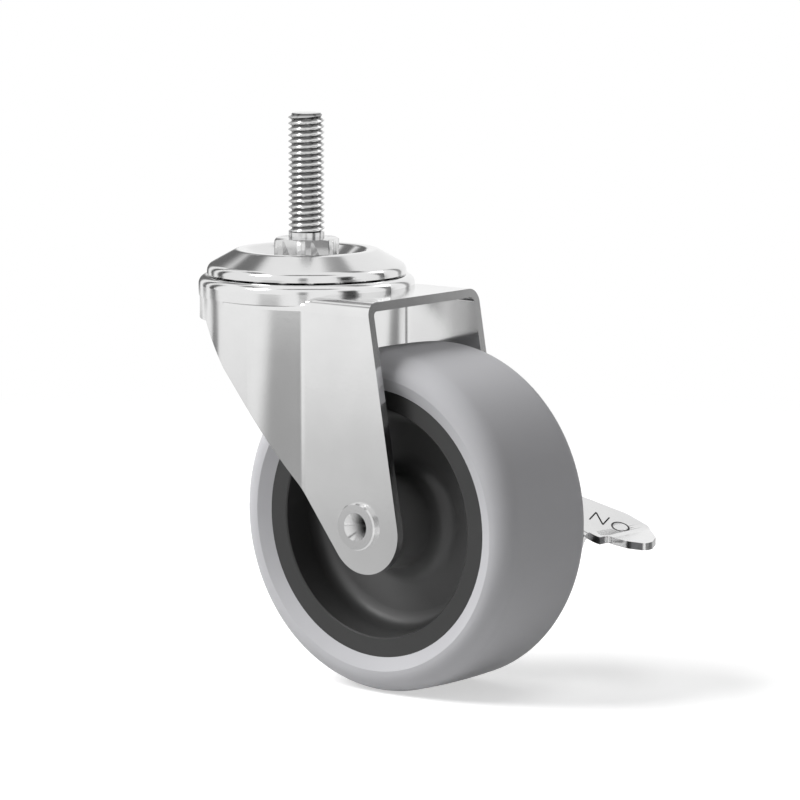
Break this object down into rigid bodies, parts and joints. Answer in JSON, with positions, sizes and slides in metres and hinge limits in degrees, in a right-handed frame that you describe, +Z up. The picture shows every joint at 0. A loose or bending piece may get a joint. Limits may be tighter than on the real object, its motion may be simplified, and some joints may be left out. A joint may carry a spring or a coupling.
{
  "type": "braked stem castor",
  "caption": "Swivel castor with a threaded stem, a double ball race, a pressed steel fork, a grey wheel and a foot brake with two pedal tabs on one side.",
  "frame": {"origin": "centre of the stem's hexagon top face, on the swivel axis", "axes": "+Z up along the threaded stem, +X from the swivel axis towards the wheel axle, +Y along the axle towards the brake lever"},
  "size_m": [0.1232, 0.0811, 0.1489],
  "materials": {
    "stem_steel": "bright zinc plate over turned and rolled steel",
    "race_steel": "bright plated pressed steel",
    "ball_steel": "polished steel",
    "fork_steel": "bright plated pressed steel",
    "rivet_steel": "bright zinc plate over headed steel",
    "sleeve_steel": "plain drawn tube",
    "lever_steel": "plated pressed steel with stamped ON and OFF",
    "tread_rubber": "satin grey rubber",
    "core_plastic": "dark grey moulded plastic",
    "bush_plastic": "light grey bearing plastic"
  },
  "bodies": {
    "stem": {"threaded_stem": "stem_steel", "upper_race_cover": "race_steel", "lower_race_cup": "race_steel"},
    "upper_balls": {"upper_ball_01": "ball_steel", "upper_ball_02": "ball_steel", "upper_ball_03": "ball_steel", "upper_ball_04": "ball_steel", "upper_ball_05": "ball_steel", "upper_ball_06": "ball_steel", "upper_ball_07": "ball_steel", "upper_ball_08": "ball_steel", "upper_ball_09": "ball_steel", "upper_ball_10": "ball_steel", "upper_ball_11": "ball_steel", "upper_ball_12": "ball_steel", "upper_ball_13": "ball_steel", "upper_ball_14": "ball_steel", "upper_ball_15": "ball_steel", "upper_ball_16": "ball_steel", "upper_ball_17": "ball_steel", "upper_ball_18": "ball_steel", "upper_ball_19": "ball_steel"},
    "lower_balls": {"lower_ball_01": "ball_steel", "lower_ball_02": "ball_steel", "lower_ball_03": "ball_steel", "lower_ball_04": "ball_steel", "lower_ball_05": "ball_steel", "lower_ball_06": "ball_steel", "lower_ball_07": "ball_steel", "lower_ball_08": "ball_steel", "lower_ball_09": "ball_steel", "lower_ball_10": "ball_steel", "lower_ball_11": "ball_steel", "lower_ball_12": "ball_steel", "lower_ball_13": "ball_steel", "lower_ball_14": "ball_steel", "lower_ball_15": "ball_steel"},
    "fork": {"fork": "fork_steel", "axle_rivet": "rivet_steel", "axle_sleeve": "sleeve_steel"},
    "wheel": {"wheel_tread": "tread_rubber", "wheel_core": "core_plastic", "hub_bush": "bush_plastic"},
    "brake": {"brake_lever": "lever_steel"}
  },
  "joints": [
    {"name": "swivel", "type": "hinge", "parent": "stem", "child": "fork", "pos_m": [0, 0, 0], "axis": [0, 0, 1], "continuous": true},
    {"name": "upper_ball_orbit", "type": "hinge", "parent": "stem", "child": "upper_balls", "pos_m": [0, 0, 0], "axis": [0, 0, 1], "continuous": true},
    {"name": "lower_ball_orbit", "type": "hinge", "parent": "stem", "child": "lower_balls", "pos_m": [0, 0, 0], "axis": [0, 0, 1], "continuous": true},
    {"name": "wheel_spin", "type": "hinge", "parent": "fork", "child": "wheel", "pos_m": [0.0366, 0, -0.07084], "axis": [0, 1, 0], "continuous": true},
    {"name": "brake_hinge", "type": "hinge", "parent": "fork", "child": "brake", "pos_m": [0.0366, 0, -0.07084], "axis": [0, 1, 0], "range_deg": [-30, 0]}
  ],
  "couplings": [
    {"joint": "upper_ball_orbit", "follows": "swivel", "ratio": 0.5},
    {"joint": "lower_ball_orbit", "follows": "swivel", "ratio": 0.5}
  ]
}
